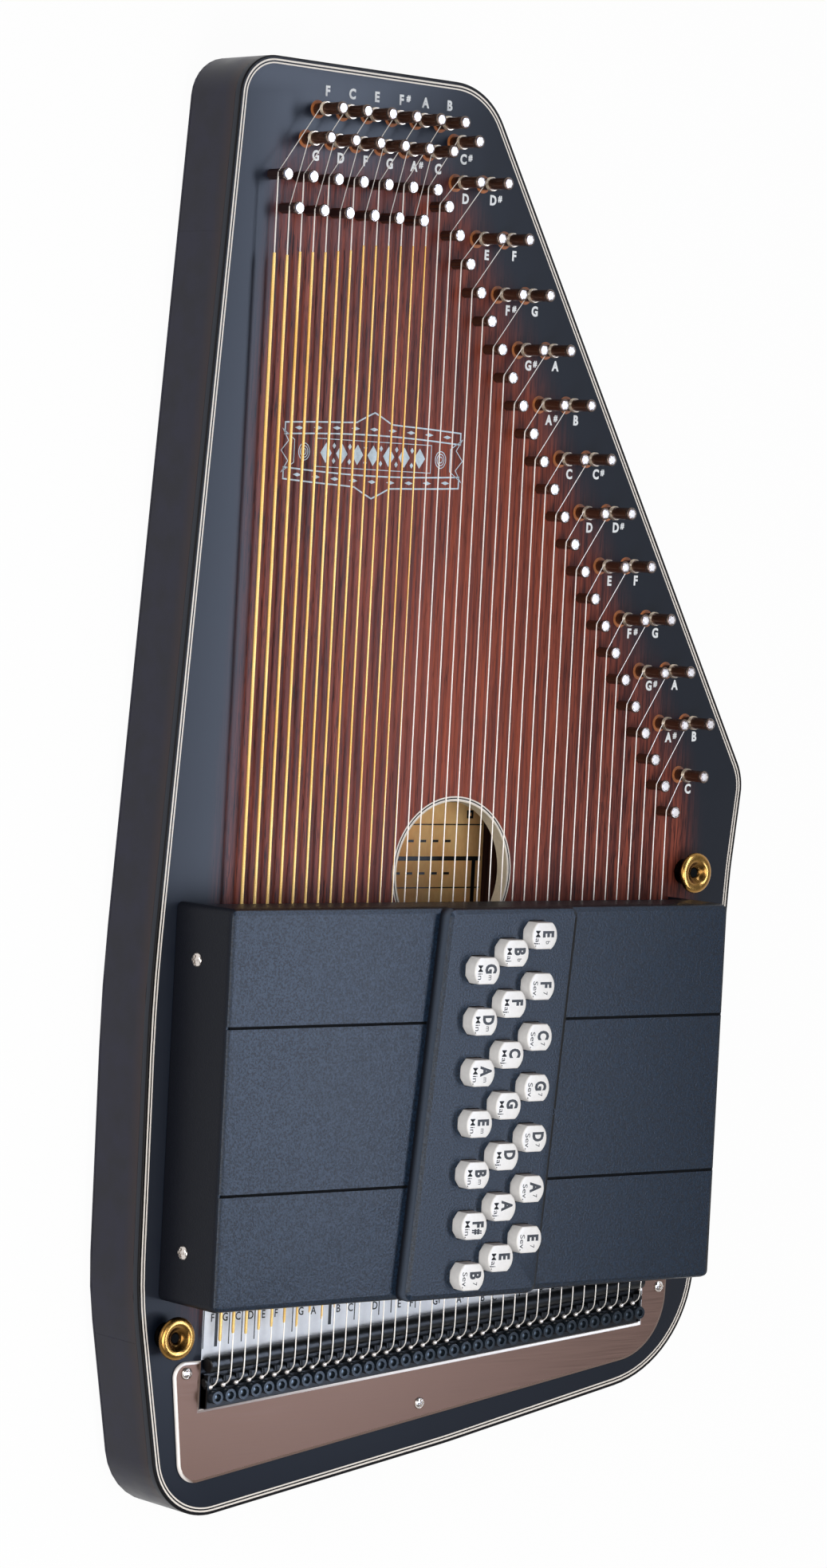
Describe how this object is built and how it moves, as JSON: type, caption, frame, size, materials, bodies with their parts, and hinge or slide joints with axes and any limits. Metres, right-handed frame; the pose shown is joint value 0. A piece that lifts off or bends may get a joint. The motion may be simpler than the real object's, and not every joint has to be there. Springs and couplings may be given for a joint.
{
  "type": "autoharp",
  "caption": "Chorded zither: tapered sound box, fanned strings on tuning pins, sprung damper bars under a moulded cover with lettered push buttons, and a fine-tuner rail.",
  "frame": {"origin": "on the floor plane under the rubber feet, below the middle of the body's outline", "axes": "+Z out of the soundboard, +Y along the strings toward the tuning pins, +X across the strings toward the treble"},
  "size_m": [0.3088, 0.5784, 0.086],
  "materials": {
    "black_lacquer": "satin black lacquer over maple",
    "sunburst_mahogany": "satin sunburst, red-brown fading to black",
    "maple": "laminated maple carrying nickel-plated pins",
    "nickel": "plated steel, polished",
    "satin_nickel": "satin nickel plate",
    "brass": "polished",
    "slate_plastic": "fine leather-grain mould texture",
    "ivory_plastic": "smooth ivory white",
    "black_steel": "black oxide",
    "bar_wood_and_felt": "plain wood with black felt pads",
    "rubber": "matte"
  },
  "bodies": {
    "instrument": {"soundboard": "sunburst_mahogany", "back_panel": "black_lacquer", "bass_rail": "black_lacquer", "treble_rail": "black_lacquer", "tail_block": "black_lacquer", "pin_block_top": "maple", "pin_block_side": "maple", "chord_bar_cover": "slate_plastic", "bar_holder_bass": "slate_plastic", "bar_holder_treble": "slate_plastic", "strings_and_bridge_rod": "nickel", "fine_tuner_rail": "black_steel", "tail_plate": "satin_nickel", "strap_button_lower": "brass", "strap_button_upper": "brass", "foot_top": "rubber", "foot_bass": "rubber", "foot_treble": "rubber"},
    "bar_01_Eb": {"chord_bar_01_Eb": "bar_wood_and_felt", "chord_button_01_Eb": "ivory_plastic"},
    "bar_02_Bb": {"chord_bar_02_Bb": "bar_wood_and_felt", "chord_button_02_Bb": "ivory_plastic"},
    "bar_03_Gm": {"chord_bar_03_Gm": "bar_wood_and_felt", "chord_button_03_Gm": "ivory_plastic"},
    "bar_04_F7": {"chord_bar_04_F7": "bar_wood_and_felt", "chord_button_04_F7": "ivory_plastic"},
    "bar_05_F": {"chord_bar_05_F": "bar_wood_and_felt", "chord_button_05_F": "ivory_plastic"},
    "bar_06_Dm": {"chord_bar_06_Dm": "bar_wood_and_felt", "chord_button_06_Dm": "ivory_plastic"},
    "bar_07_C7": {"chord_bar_07_C7": "bar_wood_and_felt", "chord_button_07_C7": "ivory_plastic"},
    "bar_08_C": {"chord_bar_08_C": "bar_wood_and_felt", "chord_button_08_C": "ivory_plastic"},
    "bar_09_Am": {"chord_bar_09_Am": "bar_wood_and_felt", "chord_button_09_Am": "ivory_plastic"},
    "bar_10_G7": {"chord_bar_10_G7": "bar_wood_and_felt", "chord_button_10_G7": "ivory_plastic"},
    "bar_11_G": {"chord_bar_11_G": "bar_wood_and_felt", "chord_button_11_G": "ivory_plastic"},
    "bar_12_Em": {"chord_bar_12_Em": "bar_wood_and_felt", "chord_button_12_Em": "ivory_plastic"},
    "bar_13_D7": {"chord_bar_13_D7": "bar_wood_and_felt", "chord_button_13_D7": "ivory_plastic"},
    "bar_14_D": {"chord_bar_14_D": "bar_wood_and_felt", "chord_button_14_D": "ivory_plastic"},
    "bar_15_Bm": {"chord_bar_15_Bm": "bar_wood_and_felt", "chord_button_15_Bm": "ivory_plastic"},
    "bar_16_A7": {"chord_bar_16_A7": "bar_wood_and_felt", "chord_button_16_A7": "ivory_plastic"},
    "bar_17_A": {"chord_bar_17_A": "bar_wood_and_felt", "chord_button_17_A": "ivory_plastic"},
    "bar_18_Fsm": {"chord_bar_18_Fsm": "bar_wood_and_felt", "chord_button_18_Fsm": "ivory_plastic"},
    "bar_19_E7": {"chord_bar_19_E7": "bar_wood_and_felt", "chord_button_19_E7": "ivory_plastic"},
    "bar_20_E": {"chord_bar_20_E": "bar_wood_and_felt", "chord_button_20_E": "ivory_plastic"},
    "bar_21_B7": {"chord_bar_21_B7": "bar_wood_and_felt", "chord_button_21_B7": "ivory_plastic"}
  },
  "joints": [
    {"name": "press_01_Eb", "type": "slide", "parent": "instrument", "child": "bar_01_Eb", "axis": [0, 0, -1], "range_m": [0, 0.003], "stiffness_N_per_m": 300, "springref_m": -0.004},
    {"name": "press_02_Bb", "type": "slide", "parent": "instrument", "child": "bar_02_Bb", "axis": [0, 0, -1], "range_m": [0, 0.003], "stiffness_N_per_m": 300, "springref_m": -0.004},
    {"name": "press_03_Gm", "type": "slide", "parent": "instrument", "child": "bar_03_Gm", "axis": [0, 0, -1], "range_m": [0, 0.003], "stiffness_N_per_m": 300, "springref_m": -0.004},
    {"name": "press_04_F7", "type": "slide", "parent": "instrument", "child": "bar_04_F7", "axis": [0, 0, -1], "range_m": [0, 0.003], "stiffness_N_per_m": 300, "springref_m": -0.004},
    {"name": "press_05_F", "type": "slide", "parent": "instrument", "child": "bar_05_F", "axis": [0, 0, -1], "range_m": [0, 0.003], "stiffness_N_per_m": 300, "springref_m": -0.004},
    {"name": "press_06_Dm", "type": "slide", "parent": "instrument", "child": "bar_06_Dm", "axis": [0, 0, -1], "range_m": [0, 0.003], "stiffness_N_per_m": 300, "springref_m": -0.004},
    {"name": "press_07_C7", "type": "slide", "parent": "instrument", "child": "bar_07_C7", "axis": [0, 0, -1], "range_m": [0, 0.003], "stiffness_N_per_m": 300, "springref_m": -0.004},
    {"name": "press_08_C", "type": "slide", "parent": "instrument", "child": "bar_08_C", "axis": [0, 0, -1], "range_m": [0, 0.003], "stiffness_N_per_m": 300, "springref_m": -0.004},
    {"name": "press_09_Am", "type": "slide", "parent": "instrument", "child": "bar_09_Am", "axis": [0, 0, -1], "range_m": [0, 0.003], "stiffness_N_per_m": 300, "springref_m": -0.004},
    {"name": "press_10_G7", "type": "slide", "parent": "instrument", "child": "bar_10_G7", "axis": [0, 0, -1], "range_m": [0, 0.003], "stiffness_N_per_m": 300, "springref_m": -0.004},
    {"name": "press_11_G", "type": "slide", "parent": "instrument", "child": "bar_11_G", "axis": [0, 0, -1], "range_m": [0, 0.003], "stiffness_N_per_m": 300, "springref_m": -0.004},
    {"name": "press_12_Em", "type": "slide", "parent": "instrument", "child": "bar_12_Em", "axis": [0, 0, -1], "range_m": [0, 0.003], "stiffness_N_per_m": 300, "springref_m": -0.004},
    {"name": "press_13_D7", "type": "slide", "parent": "instrument", "child": "bar_13_D7", "axis": [0, 0, -1], "range_m": [0, 0.003], "stiffness_N_per_m": 300, "springref_m": -0.004},
    {"name": "press_14_D", "type": "slide", "parent": "instrument", "child": "bar_14_D", "axis": [0, 0, -1], "range_m": [0, 0.003], "stiffness_N_per_m": 300, "springref_m": -0.004},
    {"name": "press_15_Bm", "type": "slide", "parent": "instrument", "child": "bar_15_Bm", "axis": [0, 0, -1], "range_m": [0, 0.003], "stiffness_N_per_m": 300, "springref_m": -0.004},
    {"name": "press_16_A7", "type": "slide", "parent": "instrument", "child": "bar_16_A7", "axis": [0, 0, -1], "range_m": [0, 0.003], "stiffness_N_per_m": 300, "springref_m": -0.004},
    {"name": "press_17_A", "type": "slide", "parent": "instrument", "child": "bar_17_A", "axis": [0, 0, -1], "range_m": [0, 0.003], "stiffness_N_per_m": 300, "springref_m": -0.004},
    {"name": "press_18_Fsm", "type": "slide", "parent": "instrument", "child": "bar_18_Fsm", "axis": [0, 0, -1], "range_m": [0, 0.003], "stiffness_N_per_m": 300, "springref_m": -0.004},
    {"name": "press_19_E7", "type": "slide", "parent": "instrument", "child": "bar_19_E7", "axis": [0, 0, -1], "range_m": [0, 0.003], "stiffness_N_per_m": 300, "springref_m": -0.004},
    {"name": "press_20_E", "type": "slide", "parent": "instrument", "child": "bar_20_E", "axis": [0, 0, -1], "range_m": [0, 0.003], "stiffness_N_per_m": 300, "springref_m": -0.004},
    {"name": "press_21_B7", "type": "slide", "parent": "instrument", "child": "bar_21_B7", "axis": [0, 0, -1], "range_m": [0, 0.003], "stiffness_N_per_m": 300, "springref_m": -0.004}
  ]
}
